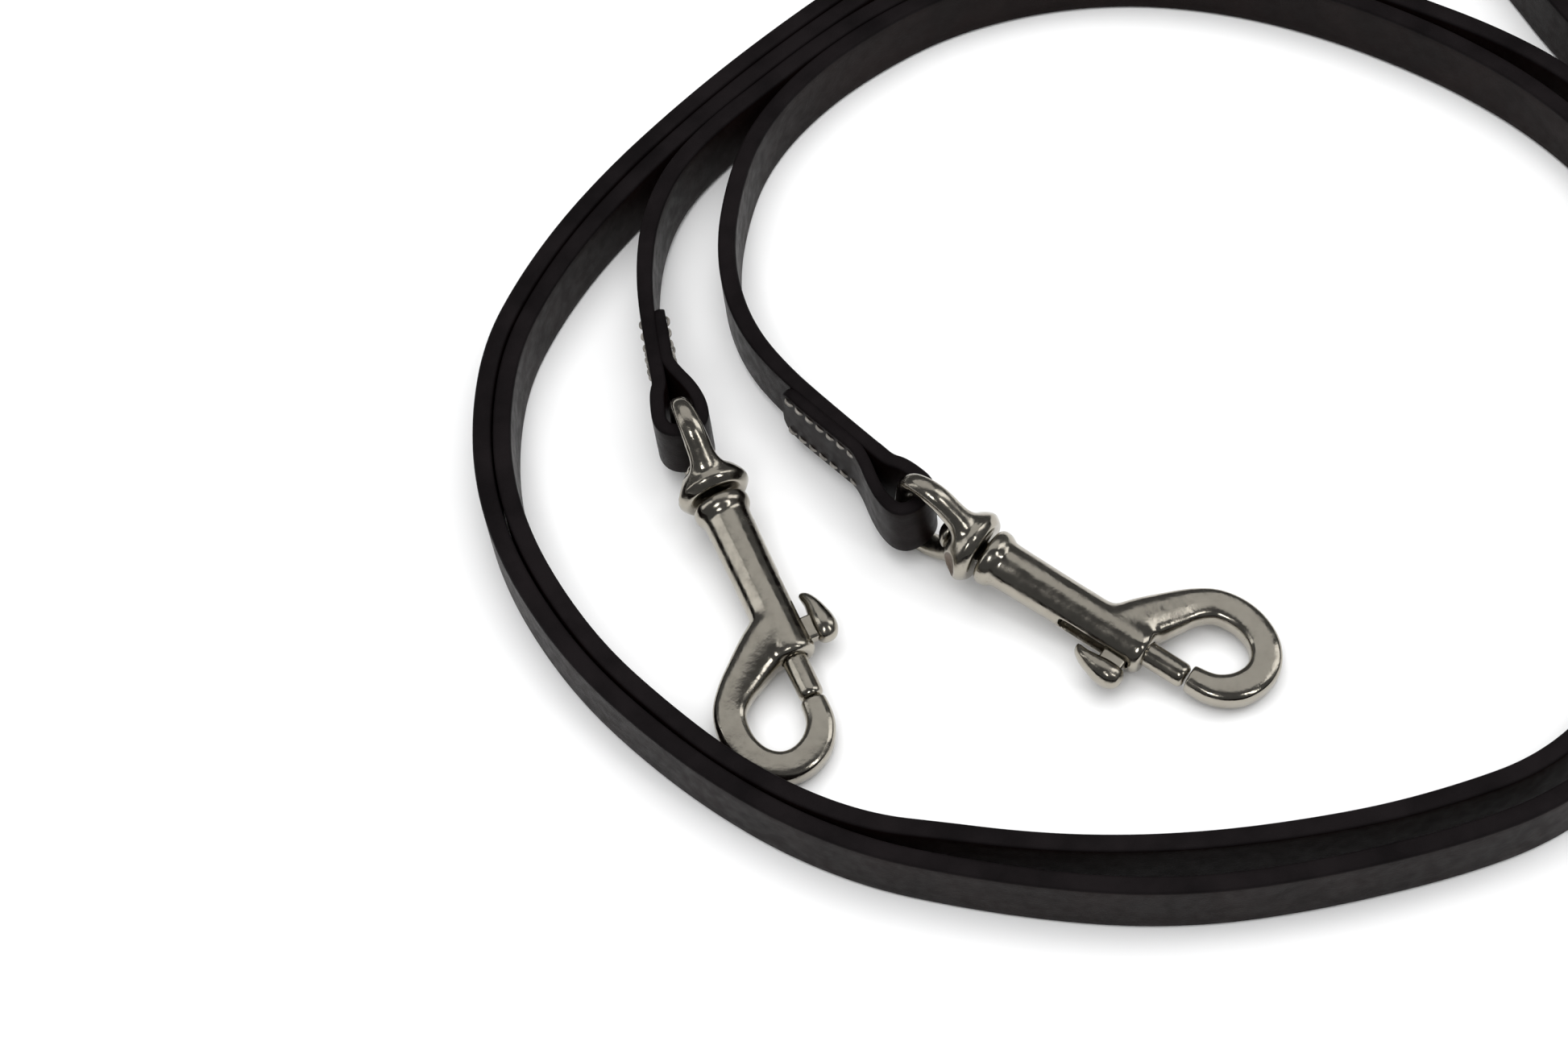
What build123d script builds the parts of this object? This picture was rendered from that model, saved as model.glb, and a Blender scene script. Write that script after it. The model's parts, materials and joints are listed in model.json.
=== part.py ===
from build123d import *
import math
import os

os.makedirs("parts", exist_ok=True)

# Leather reins: one long strap, folded at its middle and coiled on edge, each end sewn round
# the swivel eye of a bolt snap.  Millimetres, +Z up, the strap's edge rests on z = 0.

# ---------------------------------------------------------------- driving dimensions
STRAP_WIDTH = 12.7  # half-inch strap, standing on its edge
STRAP_THICK = 3.2
LOOP_THICK = 2.5  # leather skived thinner where it is folded back
COIL_X, COIL_Y = 111.4, 20.1  # the coil's middle, in the coordinates the routes are written in

RISE_SLOPE = 0.06  # both strap ends climb to the height of their eyes

SNAP_HEIGHT = 9.2  # height of the swivel gap
SNAP_DIP = 7.2  # degrees that a snap slopes down to its hook
EYE_REACH = 16.2  # from the swivel gap back to the middle of the eye's far bar
EYE_BAR = 3.4
EYE_HALF_HEIGHT = 9.0  # to the middle of a limb
EYE_EDGE = 0.9  # the bar's corners are taken off by this much
LIMB_RADII = [6.0, 3.0, 3.0, 6.0]

CUP_RADIUS = 6.5
CUP_BACK, CUP_FRONT = -6.5, -0.4
RIVET_RADIUS = 1.9
RIVET_HEAD_RADIUS = 2.9
RIVET_HEAD_HEIGHT = 2.1
RUNNING_GAP = 0.06

COLLAR_START = 0.5
COLLAR_RADIUS = 5.0
BARREL_RADIUS = 4.1
BARREL_MOUTH = 32.4
BORE_FLOOR = 5.4
BORE_RADIUS = 2.25
BOLT_RADIUS = 2.15
BOLT_REAR, BOLT_TIP = 16.5, 39.9
BOLT_CHAMFER = 0.7
SLOT_HALF_WIDTH = 1.5
SLOT_START, SLOT_END = 17.0, 30.8
NECK_START, NECK_END = 26.0, 30.5
NECK_HALF_WIDTH = 1.3
LUG_SEAT = 5.0  # how far the lug's underside stands from the bolt's axis
LUG_THICK = 4.6
STUD_RADIUS = 0.9
STUD_LENGTH = 2.6

HOOK_THICK = 4.6
HOOK_END = 40.6  # where the hook's blunt end faces the bolt's tip

SPRING_RADIUS = 1.75
SPRING_WIRE = 0.25
SPRING_TURNS = 5  # still loose when the bolt is drawn right back

LOOP_HALF_WIDTH = 3.7  # to the middle of the leather, either side of the eye's bar
LOOP_SIDE = 0.25  # the loop's middle stands this far to the tail's side of the bar
SLACK_A, SLACK_B = 3.8, 2.8  # from the middle of the eye's bar to the inside of each loop's end
LOOP_RADII = [6.0, 3.4, 3.4, 4.0, 6.0]
TAIL_LENGTH_A, TAIL_LENGTH_B = 27.5, 34.0  # from the loop's end to the tail's
TAIL_DRIFT_A, TAIL_DRIFT_B = 0.2, 0.1  # how far the tail closes on the strap along its length
SEAM_GAP = 0.02

STITCH_PITCH = 2.6
STITCH_LENGTH = 1.8
STITCH_THREAD = 0.6
STITCH_ROW = 4.5  # from the middle of the strap's width to each row
STITCHES_A, STITCHES_B = 5, 8  # in each row

# ---------------------------------------------------------------- the strap's route
# Each half starts where its end loop is sewn on, goes once and a half round the coil, and
# meets the other half in the fold at the far side.
ROUTE_A = [
    (-17.5, 24.1), (-18.0, 35.4), (-17.4, 47.5), (-15.0, 58.7), (-9.9, 69.0), (-1.4, 77.6),
    (8.3, 84.6), (18.3, 91.5), (29.2, 97.8), (41.0, 102.8), (53.5, 105.4), (66.4, 106.0),
    (79.5, 104.4), (92.0, 100.7), (104.0, 95.5), (115.6, 88.9), (126.8, 80.7), (138.2, 72.0),
    (148.2, 62.2), (156.8, 49.8), (163.3, 35.4), (167.2, 19.5), (168.3, 3.0), (166.7, -13.5),
    (162.3, -29.3), (155.0, -44.2), (145.3, -57.2), (134.0, -68.2), (123.0, -76.4),
    (111.4, -81.6), (98.5, -84.2), (85.0, -85.6), (71.5, -86.3), (58.0, -86.0), (44.5, -84.0),
    (31.0, -80.3), (18.0, -75.7), (5.3, -70.3), (-7.0, -62.3), (-18.0, -52.4), (-27.7, -41.4),
    (-36.5, -29.2), (-43.2, -16.0), (-47.8, -2.6), (-49.7, 11.0), (-48.8, 24.8), (-45.3, 38.5),
    (-38.5, 50.0), (-30.0, 60.9), (-20.0, 71.0), (-9.5, 79.9), (1.8, 88.5), (13.4, 96.4),
    (25.0, 103.6), (37.5, 110.6), (51.0, 117.0), (66.0, 122.2), (82.0, 125.6), (98.5, 126.8),
    (115.0, 125.2), (130.5, 120.2), (144.0, 111.6), (155.0, 100.2), (164.5, 88.5), (175.5, 78.0),
    (188.0, 69.6), (201.6, 63.8), (215.6, 60.6), (229.3, 58.7), (242.0, 55.9), (253.6, 50.3),
    (263.5, 41.5), (270.2, 30.2), (273.0, 17.0), (269.0, 2.8),
]
ROUTE_B = [
    (17.8, 1.1), (10.6, 11.3), (3.8, 21.3), (-0.9, 31.0), (-2.9, 41.5), (-2.4, 52.3), (0.4, 63.0),
    (4.6, 72.8), (11.2, 81.2), (20.1, 88.7), (30.7, 94.8), (42.0, 99.5), (54.0, 101.9),
    (66.3, 102.4), (78.8, 100.9), (90.8, 97.4), (102.5, 92.2), (113.5, 85.6), (124.2, 77.6),
    (134.2, 68.7), (143.2, 58.6), (150.6, 47.2), (156.2, 34.2), (159.7, 20.0), (160.8, 5.3),
    (159.4, -9.5), (155.5, -24.0), (149.1, -37.8), (140.3, -50.3), (130.8, -60.8), (121.8, -69.0),
    (112.0, -74.4), (100.5, -76.8), (88.0, -78.4), (75.5, -78.8), (62.5, -78.5), (50.0, -77.3),
    (38.5, -75.3), (27.8, -72.6), (17.2, -69.2), (6.4, -65.9), (-4.6, -59.4), (-15.5, -50.0),
    (-24.9, -38.9), (-33.4, -27.3), (-39.8, -14.6), (-44.3, -1.7), (-46.2, 11.1), (-45.3, 24.2),
    (-42.0, 37.0), (-35.6, 48.0), (-27.4, 58.5), (-17.6, 68.3), (-7.4, 77.1), (3.9, 85.7),
    (15.3, 93.5), (26.8, 100.5), (39.2, 107.4), (52.3, 113.5), (66.9, 118.6), (82.3, 121.9),
    (98.2, 123.0), (113.6, 121.3), (127.2, 116.5), (137.8, 108.3), (144.6, 97.9), (148.7, 86.9),
    (152.3, 76.0), (156.8, 65.7), (162.3, 55.7), (168.0, 45.6), (173.8, 35.4), (179.2, 24.9),
    (184.7, 14.4), (190.8, 4.2), (197.8, -5.3), (206.6, -14.0), (217.6, -21.1), (230.2, -24.6),
    (243.4, -24.3), (256.0, -20.0), (265.0, -11.4), (269.0, 2.8),
]
# How high the strap's lower edge stands at the first points of each route.
RISE_A = [3.8, 3.1, 2.4, 1.7, 1.0, 0.4]
RISE_B = [3.8, 3.1, 2.4, 1.7, 1.0, 0.4]


def corner_radii(points):
    """One radius for each corner: as large as the shorter of its two runs allows."""
    radii = []
    for before, corner, after in zip(points, points[1:], points[2:]):
        arriving = Vector(*corner) - Vector(*before)
        leaving = Vector(*after) - Vector(*corner)
        half_turn = math.radians(arriving.get_angle(leaving)) / 2
        radii.append(0.45 * min(arriving.length, leaving.length) / math.tan(half_turn))
    return radii


def make_strap(route, rise):
    """Half of the strap: its end climbs to the eye, and the rest stands on the table."""
    heights = rise + [0.0] * (len(route) - len(rise))
    points = [(x - COIL_X, y - COIL_Y, z) for (x, y), z in zip(route, heights)]
    radii = corner_radii(points)
    with BuildLine() as line:
        FilletPolyline(points, radius=radii)
    edges = line.wire().order_edges()
    landed = 2 * len(rise) + 1  # runs and arcs up to the first run that lies on the table
    climb = Wire(edges[:landed])
    flat = Wire(edges[landed:])
    with BuildPart() as strap:
        for path, guide in ((climb, climb.translate((0, 0, STRAP_WIDTH))), (flat, None)):
            ahead = path % 0
            upright = Plane(path @ 0, x_dir=(-ahead.Y, ahead.X, 0), z_dir=(ahead.X, ahead.Y, 0))
            with BuildSketch(upright) as section:
                Rectangle(STRAP_THICK, STRAP_WIDTH, align=(Align.CENTER, Align.MIN))
            sweep(section.sketch, path=path, binormal=guide)
    length = climb.length + flat.length
    print(f"strap: {length:.1f} mm of centre line, radii from {min(radii):.0f} mm to {max(radii):.0f} mm")
    print(f"  volume {strap.part.volume:.0f}, section times length {STRAP_THICK * STRAP_WIDTH * length:.0f}")
    return strap


rein_a = make_strap(ROUTE_A, RISE_A)
rein_a.part.label = "rein_a"
export_step(rein_a.part, "parts/rein_a.step")

rein_b = make_strap(ROUTE_B, RISE_B)
rein_b.part.label = "rein_b"
export_step(rein_b.part, "parts/rein_b.step")


# ---------------------------------------------------------------- frames of the two ends
def snap_frame(gap_x, gap_y, heading, lever_on_left):
    """Origin in the swivel gap, x along the snap to its hook, y towards its thumb lug."""
    turn, dip = math.radians(heading), math.radians(SNAP_DIP)
    along = Vector(math.cos(turn) * math.cos(dip), math.sin(turn) * math.cos(dip), -math.sin(dip))
    up = Vector(math.cos(turn) * math.sin(dip), math.sin(turn) * math.sin(dip), math.cos(dip))
    origin = (gap_x - COIL_X, gap_y - COIL_Y, SNAP_HEIGHT)
    return Plane(origin, x_dir=along, z_dir=up if lever_on_left else -up)


def across(frame, distance):
    """A sketch plane square to the snap's axis; its x is the frame's y, its y the frame's z."""
    return Plane(frame.origin + frame.x_dir * distance, x_dir=frame.y_dir, z_dir=frame.x_dir)


def loop_frame(frame, strap_heading):
    """On the table under the eye's far bar: x out of the strap's end, y to the sewn-down tail."""
    bar = frame.origin - frame.x_dir * EYE_REACH
    turn = math.radians(strap_heading)
    tail_up = 1 if frame.z_dir.Z > 0 else -1
    return Plane((bar.X, bar.Y, 0), x_dir=(math.cos(turn), math.sin(turn), 0), z_dir=(0, 0, tail_up))


SNAP_A = snap_frame(-10.5, 0.8, -74.3, lever_on_left=True)
SNAP_B = snap_frame(32.5, -17.7, -42.6, lever_on_left=False)
LOOP_A = loop_frame(SNAP_A, -90.0)
LOOP_B = loop_frame(SNAP_B, -54.6)
print("eye hinges", [tuple(round(c, 3) for c in f.origin - f.x_dir * EYE_REACH) for f in (SNAP_A, SNAP_B)])
print("snap axes", [tuple(round(c, 5) for c in f.x_dir) for f in (SNAP_A, SNAP_B)])


# ---------------------------------------------------------------- the sewn ends
def height_at(distance, junction, rise):
    """Height of the leather's lower edge, by distance past the eye's bar along a strap's end."""
    return rise[0] + RISE_SLOPE * (distance - junction.X)


def make_end_loop(frame, route, rise, slack, length, drift):
    """The strap's end folded round the eye's bar, its tail lying along the strap."""
    junction = frame.to_local_coords(Vector(route[0][0] - COIL_X, route[0][1] - COIL_Y, 0))
    tip = slack + LOOP_THICK / 2
    near, far = LOOP_SIDE - LOOP_HALF_WIDTH, LOOP_SIDE + LOOP_HALF_WIDTH
    tail = junction.Y + (STRAP_THICK + LOOP_THICK) / 2 + SEAM_GAP
    corners = [
        (junction.X, junction.Y),
        (-3.0, near),
        (tip, near),
        (tip, far),
        (-2.0, far),
        (junction.X, tail),
        (tip - length, tail - drift),
    ]
    bottom = Plane(
        frame.origin + Vector(0, 0, height_at(0, junction, rise)),
        x_dir=frame.x_dir + Vector(0, 0, RISE_SLOPE),
        z_dir=Vector(0, 0, 1) - frame.x_dir * RISE_SLOPE,
    )
    top = Plane(bottom.origin + Vector(0, 0, STRAP_WIDTH), x_dir=bottom.x_dir, z_dir=bottom.z_dir)
    with BuildPart() as loop:
        with BuildSketch(frame):
            with BuildLine():
                FilletPolyline(corners, radius=LOOP_RADII)
            trace(line_width=LOOP_THICK)
        extrude(amount=2 * STRAP_WIDTH, both=True)
        split(bisect_by=bottom, keep=Keep.TOP)
        split(bisect_by=top, keep=Keep.BOTTOM)
    return loop


def make_stitching(frame, route, rise, count, drift):
    """Two rows of short stitches on each outer face of the sewn stretch."""
    up = frame.z_dir.Z
    junction = frame.to_local_coords(Vector(route[0][0] - COIL_X, route[0][1] - COIL_Y, 0))
    tail_face = junction.Y + STRAP_THICK / 2 + LOOP_THICK - drift / 2
    strap_face = junction.Y - STRAP_THICK / 2
    places = []
    for number in range(count):
        distance = junction.X - STITCH_PITCH * (number + 0.5)
        middle = height_at(distance, junction, rise) + STRAP_WIDTH / 2
        places += [(distance, -up * (middle + row)) for row in (-STITCH_ROW, STITCH_ROW)]
    with BuildPart() as stitching:
        for face in (tail_face, strap_face):
            side = Plane(frame.from_local_coords((0, face, 0)), x_dir=frame.x_dir, z_dir=frame.y_dir)
            with BuildSketch(side):
                with Locations(*places):
                    Rectangle(STITCH_LENGTH, STITCH_THREAD)
            extrude(amount=STITCH_THREAD / 2, both=True)
    return stitching


for end, frame, route, rise, slack, length, count, drift in (
    ("a", LOOP_A, ROUTE_A, RISE_A, SLACK_A, TAIL_LENGTH_A, STITCHES_A, TAIL_DRIFT_A),
    ("b", LOOP_B, ROUTE_B, RISE_B, SLACK_B, TAIL_LENGTH_B, STITCHES_B, TAIL_DRIFT_B),
):
    end_loop = make_end_loop(frame, route, rise, slack, length, drift)
    end_loop.part.label = f"end_loop_{end}"
    export_step(end_loop.part, f"parts/end_loop_{end}.step")

    stitching = make_stitching(frame, route, rise, count, drift)
    stitching.part.label = f"stitching_{end}"
    export_step(stitching.part, f"parts/stitching_{end}.step")


# ---------------------------------------------------------------- the bolt snaps
def make_swivel_eye(frame):
    """A D-shaped eye standing upright, its two limbs running into a bell-shaped cup."""
    side = Plane(frame.origin, x_dir=frame.x_dir, z_dir=-frame.y_dir)
    limb = [
        (-4.0, 3.6),
        (-9.6, EYE_HALF_HEIGHT),
        (-EYE_REACH, EYE_HALF_HEIGHT),
        (-EYE_REACH, -EYE_HALF_HEIGHT),
        (-9.6, -EYE_HALF_HEIGHT),
        (-4.0, -3.6),
    ]
    bell = [
        (CUP_BACK, 0.0), (CUP_BACK, 3.4), (-5.6, 4.6), (-3.6, 5.3), (-2.3, 5.6),
        (-2.0, CUP_RADIUS), (-0.8, CUP_RADIUS), (CUP_FRONT, 6.1), (CUP_FRONT, 0.0),
    ]
    with BuildPart() as eye:
        with BuildSketch(side):
            with BuildLine():
                FilletPolyline(limb, radius=LIMB_RADII)
            trace(line_width=EYE_BAR)
        extrude(amount=EYE_BAR / 2, both=True)
        flat_faces = eye.faces().filter_by(Plane(frame.origin, z_dir=frame.y_dir))
        chamfer(flat_faces.edges(), length=EYE_EDGE)
        with BuildSketch(frame):
            with BuildLine():
                Polyline(bell, close=True)
            make_face()
        revolve(axis=Axis(frame.origin, frame.x_dir))
        with BuildSketch(across(frame, CUP_BACK)):
            Circle(RIVET_RADIUS + RUNNING_GAP)
        extrude(amount=CUP_FRONT - CUP_BACK, mode=Mode.SUBTRACT)
    return eye


def make_swivel_rivet(frame):
    """The headed post that holds the eye's cup to the snap body."""
    head = CUP_BACK - RUNNING_GAP
    dome_radius = (RIVET_HEAD_HEIGHT**2 + RIVET_HEAD_RADIUS**2) / (2 * RIVET_HEAD_HEIGHT)
    half_way = math.asin(RIVET_HEAD_RADIUS / dome_radius) / 2
    crown = head - RIVET_HEAD_HEIGHT
    shoulder = (crown + dome_radius * (1 - math.cos(half_way)), dome_radius * math.sin(half_way))
    with BuildPart() as rivet:
        with BuildSketch(frame):
            with BuildLine():
                Polyline(
                    (BORE_FLOOR, 0), (BORE_FLOOR, RIVET_RADIUS), (head, RIVET_RADIUS),
                    (head, RIVET_HEAD_RADIUS),
                )
                ThreePointArc((head, RIVET_HEAD_RADIUS), shoulder, (crown, 0))
                Line((crown, 0), (BORE_FLOOR, 0))
            make_face()
        revolve(axis=Axis(frame.origin, frame.x_dir))
    return rivet


def make_snap_body(frame):
    """Collar, slotted barrel and open hook in one casting."""
    barrel = [
        (COLLAR_START, 0), (COLLAR_START, 4.7), (0.8, COLLAR_RADIUS), (2.2, COLLAR_RADIUS),
        (2.6, 4.4), (6.0, BARREL_RADIUS), (31.4, BARREL_RADIUS), (BARREL_MOUTH, 3.5), (BARREL_MOUTH, 0),
    ]
    outside = [
        (23.0, -3.6), (27.0, -9.3), (31.9, -14.0), (36.5, -16.8), (42.5, -17.2), (48.0, -15.2),
        (51.5, -11.4), (52.4, -6.2), (50.1, -0.8), (45.9, 1.6), (HOOK_END, 1.9),
    ]
    inside = [
        (HOOK_END, -2.6), (42.6, -3.1), (45.6, -4.6), (46.8, -7.4), (45.6, -10.3),
        (42.5, -11.7), (38.4, -11.5), (35.2, -8.7), (33.4, -5.2), (32.0, -3.0),
    ]
    with BuildPart() as body:
        with BuildSketch(frame):
            with BuildLine():
                Spline(outside)
                Line(outside[-1], inside[0])
                Spline(inside)
                Polyline(inside[-1], (23.0, -2.6), outside[0])
            make_face()
        extrude(amount=HOOK_THICK / 2, both=True)
        with BuildSketch(frame):
            with BuildLine():
                Polyline(barrel, close=True)
            make_face()
        revolve(axis=Axis(frame.origin, frame.x_dir))
        with BuildSketch(across(frame, BORE_FLOOR)):
            Circle(BORE_RADIUS)
        extrude(amount=HOOK_END - BORE_FLOOR, mode=Mode.SUBTRACT)
        with BuildSketch(across(frame, COLLAR_START)):
            Circle(RIVET_RADIUS)
        extrude(amount=BORE_FLOOR - COLLAR_START, mode=Mode.SUBTRACT)
        slot_middle = frame.origin + frame.x_dir * (SLOT_START + SLOT_END) / 2
        with BuildSketch(Plane(slot_middle, x_dir=frame.x_dir, z_dir=frame.y_dir)):
            Rectangle(SLOT_END - SLOT_START, 2 * SLOT_HALF_WIDTH)
        extrude(amount=COLLAR_RADIUS, mode=Mode.SUBTRACT)
    return body


def make_bolt(frame):
    """The plunger, with the neck that comes out of the slot and a stud to hold the thumb lug."""
    neck_middle = frame.origin + frame.x_dir * (NECK_START + NECK_END) / 2
    lug_side = Plane(neck_middle, x_dir=frame.x_dir, z_dir=frame.y_dir)
    with BuildPart() as bolt:
        with BuildSketch(frame):
            with BuildLine():
                Polyline(
                    (BOLT_REAR, 0), (BOLT_REAR, BOLT_RADIUS), (BOLT_TIP - BOLT_CHAMFER, BOLT_RADIUS),
                    (BOLT_TIP, BOLT_RADIUS - BOLT_CHAMFER), (BOLT_TIP, 0), close=True,
                )
            make_face()
        revolve(axis=Axis(frame.origin, frame.x_dir))
        with BuildSketch(lug_side):
            Rectangle(NECK_END - NECK_START, 2 * NECK_HALF_WIDTH)
        extrude(amount=LUG_SEAT)
        with BuildSketch(lug_side.offset(LUG_SEAT)):
            Circle(STUD_RADIUS)
        extrude(amount=STUD_LENGTH)
    return bolt


def make_thumb_lug(frame):
    """A crescent that the thumb pulls back, its tip pointing to the eye."""
    neck_middle = frame.origin + frame.x_dir * (NECK_START + NECK_END) / 2
    with BuildPart() as lug:
        with BuildSketch(frame):
            with BuildLine():
                ThreePointArc((22.3, 5.6), (25.6, 8.3), (29.4, 9.2))
                ThreePointArc((29.4, 9.2), (31.4, 8.2), (31.4, 6.0))
                Polyline((31.4, 6.0), (30.6, LUG_SEAT), (26.0, LUG_SEAT))
                ThreePointArc((26.0, LUG_SEAT), (24.2, 5.7), (22.3, 5.6))
            make_face()
        extrude(amount=LUG_THICK / 2, both=True)
        with BuildSketch(Plane(neck_middle, x_dir=frame.x_dir, z_dir=frame.y_dir).offset(LUG_SEAT)):
            Circle(STUD_RADIUS)
        extrude(amount=STUD_LENGTH, mode=Mode.SUBTRACT)
    return lug


def make_bolt_spring(frame):
    """The coil spring between the bottom of the bore and the bolt."""
    first, last = BORE_FLOOR + 2 * SPRING_WIRE, BOLT_REAR - 2 * SPRING_WIRE
    with BuildPart() as spring:
        with BuildLine() as coil:
            Helix(
                pitch=(last - first) / SPRING_TURNS,
                height=last - first,
                radius=SPRING_RADIUS,
                center=frame.origin + frame.x_dir * first,
                direction=frame.x_dir,
            )
        with BuildSketch(Plane(coil.wire() @ 0, z_dir=coil.wire() % 0)):
            Circle(SPRING_WIRE)
        sweep(path=coil.wire(), is_frenet=True)
    return spring


for end, frame in (("a", SNAP_A), ("b", SNAP_B)):
    pieces = {
        "swivel_eye": make_swivel_eye(frame),
        "swivel_rivet": make_swivel_rivet(frame),
        "snap_body": make_snap_body(frame),
        "bolt": make_bolt(frame),
        "thumb_lug": make_thumb_lug(frame),
        "bolt_spring": make_bolt_spring(frame),
    }
    for name, piece in pieces.items():
        piece.part.label = f"{name}_{end}"
        export_step(piece.part, f"parts/{name}_{end}.step")
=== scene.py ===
import json
import math

import bmesh
import bpy
import numpy as np
from mathutils import Matrix, Vector


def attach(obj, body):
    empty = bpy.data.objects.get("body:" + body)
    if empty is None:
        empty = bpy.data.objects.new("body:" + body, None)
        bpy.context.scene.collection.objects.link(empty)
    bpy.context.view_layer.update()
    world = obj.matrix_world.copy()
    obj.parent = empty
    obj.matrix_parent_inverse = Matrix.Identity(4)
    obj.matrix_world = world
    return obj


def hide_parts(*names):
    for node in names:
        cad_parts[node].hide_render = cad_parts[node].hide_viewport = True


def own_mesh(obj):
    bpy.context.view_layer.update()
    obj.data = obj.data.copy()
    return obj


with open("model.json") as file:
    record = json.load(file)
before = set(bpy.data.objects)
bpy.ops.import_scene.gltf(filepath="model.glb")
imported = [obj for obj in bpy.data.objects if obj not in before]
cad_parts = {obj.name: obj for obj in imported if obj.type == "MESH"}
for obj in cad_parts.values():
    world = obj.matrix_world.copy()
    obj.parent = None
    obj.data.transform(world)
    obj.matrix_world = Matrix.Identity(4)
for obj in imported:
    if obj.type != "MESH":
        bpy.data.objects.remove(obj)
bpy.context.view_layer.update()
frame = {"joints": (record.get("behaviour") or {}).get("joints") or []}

# Leather reins with two swivel bolt snaps.  Sizes are in millimetres until a mesh is placed.
MM = 0.001
scene = bpy.context.scene

# ---------------------------------------------------------------- camera
CAMERA_PLACE = Vector((-0.1114, -0.3597, 0.5542))
CAMERA_TARGET = Vector((-0.1114, -0.0201, 0.0))
CAMERA_LENS = 86.6
CAMERA_ROLL = -9.0

lens = bpy.data.cameras.new("camera")
lens.lens = CAMERA_LENS
lens.sensor_width = 36.0
lens.clip_start = 0.01
camera = bpy.data.objects.new("camera", lens)
camera.location = CAMERA_PLACE
aim = (CAMERA_TARGET - CAMERA_PLACE).to_track_quat("-Z", "Y").to_matrix().to_4x4()
camera.rotation_euler = (aim @ Matrix.Rotation(math.radians(CAMERA_ROLL), 4, "Z")).to_euler()
scene.collection.objects.link(camera)
scene.camera = camera

# ---------------------------------------------------------------- the strap's route
STRAP_WIDTH = 12.7
STRAP_THICK = 3.2
LOOP_THICK = 2.5
COIL_X, COIL_Y = 111.4, 20.1
ROUTE_A = [
    (-17.5, 24.1), (-18.0, 35.4), (-17.4, 47.5), (-15.0, 58.7), (-9.9, 69.0), (-1.4, 77.6),
    (8.3, 84.6), (18.3, 91.5), (29.2, 97.8), (41.0, 102.8), (53.5, 105.4), (66.4, 106.0),
    (79.5, 104.4), (92.0, 100.7), (104.0, 95.5), (115.6, 88.9), (126.8, 80.7), (138.2, 72.0),
    (148.2, 62.2), (156.8, 49.8), (163.3, 35.4), (167.2, 19.5), (168.3, 3.0), (166.7, -13.5),
    (162.3, -29.3), (155.0, -44.2), (145.3, -57.2), (134.0, -68.2), (123.0, -76.4),
    (111.4, -81.6), (98.5, -84.2), (85.0, -85.6), (71.5, -86.3), (58.0, -86.0), (44.5, -84.0),
    (31.0, -80.3), (18.0, -75.7), (5.3, -70.3), (-7.0, -62.3), (-18.0, -52.4), (-27.7, -41.4),
    (-36.5, -29.2), (-43.2, -16.0), (-47.8, -2.6), (-49.7, 11.0), (-48.8, 24.8), (-45.3, 38.5),
    (-38.5, 50.0), (-30.0, 60.9), (-20.0, 71.0), (-9.5, 79.9), (1.8, 88.5), (13.4, 96.4),
    (25.0, 103.6), (37.5, 110.6), (51.0, 117.0), (66.0, 122.2), (82.0, 125.6), (98.5, 126.8),
    (115.0, 125.2), (130.5, 120.2), (144.0, 111.6), (155.0, 100.2), (164.5, 88.5), (175.5, 78.0),
    (188.0, 69.6), (201.6, 63.8), (215.6, 60.6), (229.3, 58.7), (242.0, 55.9), (253.6, 50.3),
    (263.5, 41.5), (270.2, 30.2), (273.0, 17.0), (269.0, 2.8),
]
ROUTE_B = [
    (17.8, 1.1), (10.6, 11.3), (3.8, 21.3), (-0.9, 31.0), (-2.9, 41.5), (-2.4, 52.3), (0.4, 63.0),
    (4.6, 72.8), (11.2, 81.2), (20.1, 88.7), (30.7, 94.8), (42.0, 99.5), (54.0, 101.9),
    (66.3, 102.4), (78.8, 100.9), (90.8, 97.4), (102.5, 92.2), (113.5, 85.6), (124.2, 77.6),
    (134.2, 68.7), (143.2, 58.6), (150.6, 47.2), (156.2, 34.2), (159.7, 20.0), (160.8, 5.3),
    (159.4, -9.5), (155.5, -24.0), (149.1, -37.8), (140.3, -50.3), (130.8, -60.8), (121.8, -69.0),
    (112.0, -74.4), (100.5, -76.8), (88.0, -78.4), (75.5, -78.8), (62.5, -78.5), (50.0, -77.3),
    (38.5, -75.3), (27.8, -72.6), (17.2, -69.2), (6.4, -65.9), (-4.6, -59.4), (-15.5, -50.0),
    (-24.9, -38.9), (-33.4, -27.3), (-39.8, -14.6), (-44.3, -1.7), (-46.2, 11.1), (-45.3, 24.2),
    (-42.0, 37.0), (-35.6, 48.0), (-27.4, 58.5), (-17.6, 68.3), (-7.4, 77.1), (3.9, 85.7),
    (15.3, 93.5), (26.8, 100.5), (39.2, 107.4), (52.3, 113.5), (66.9, 118.6), (82.3, 121.9),
    (98.2, 123.0), (113.6, 121.3), (127.2, 116.5), (137.8, 108.3), (144.6, 97.9), (148.7, 86.9),
    (152.3, 76.0), (156.8, 65.7), (162.3, 55.7), (168.0, 45.6), (173.8, 35.4), (179.2, 24.9),
    (184.7, 14.4), (190.8, 4.2), (197.8, -5.3), (206.6, -14.0), (217.6, -21.1), (230.2, -24.6),
    (243.4, -24.3), (256.0, -20.0), (265.0, -11.4), (269.0, 2.8),
]
RISE = [3.8, 3.1, 2.4, 1.7, 1.0, 0.4]  # of the lower edge, at each route's first points
RISE_SLOPE = 0.06
SPLINE_ORDER = 3
ROUTE_STEPS, LOOP_STEPS = 9, 10  # drawn points for each control point


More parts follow.
